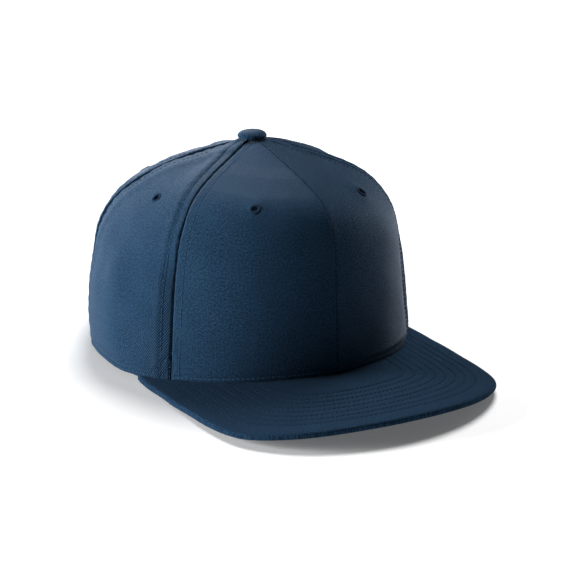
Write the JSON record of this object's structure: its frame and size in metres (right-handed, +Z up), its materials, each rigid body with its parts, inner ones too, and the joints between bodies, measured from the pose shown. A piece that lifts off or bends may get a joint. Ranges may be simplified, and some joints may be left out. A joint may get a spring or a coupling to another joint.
{
  "type": "snapback cap",
  "caption": "Structured snapback cap with a tall seamed crown, a wide flat visor, a covered top button, a back arch and a plastic snap strap.",
  "frame": {"origin": "on the table, under the middle of the cap's overall length and width as it rests", "axes": "the visor points to -Y, +X is the wearer's left, +Z is up; the cap stands on the visor's two corners and the foot of its back rim"},
  "size_m": [0.1844, 0.2802, 0.1241],
  "materials": {
    "navy_twill": "fine wool-like twill, matt with a soft sheen",
    "navy_visor_cloth": "the same twill, drawn tight over a board, with its ribs fore and aft",
    "navy_thread": "satin-stitched thread",
    "dark_band_cloth": "plain cotton twill tape",
    "navy_plastic": "moulded, semi-matt"
  },
  "bodies": {
    "root": {"crown_front_left": "navy_twill", "crown_front_right": "navy_twill", "crown_side_left": "navy_twill", "crown_side_right": "navy_twill", "crown_rear_left": "navy_twill", "crown_rear_right": "navy_twill", "eyelet_front_left": "navy_thread", "eyelet_front_right": "navy_thread", "eyelet_side_left": "navy_thread", "eyelet_side_right": "navy_thread", "eyelet_rear_left": "navy_thread", "eyelet_rear_right": "navy_thread", "visor": "navy_visor_cloth", "top_button": "navy_twill", "sweatband": "dark_band_cloth", "back_arch_tape": "dark_band_cloth", "snap_strap_holes": "navy_plastic", "snap_strap_pegs": "navy_plastic"}
  },
  "joints": []
}
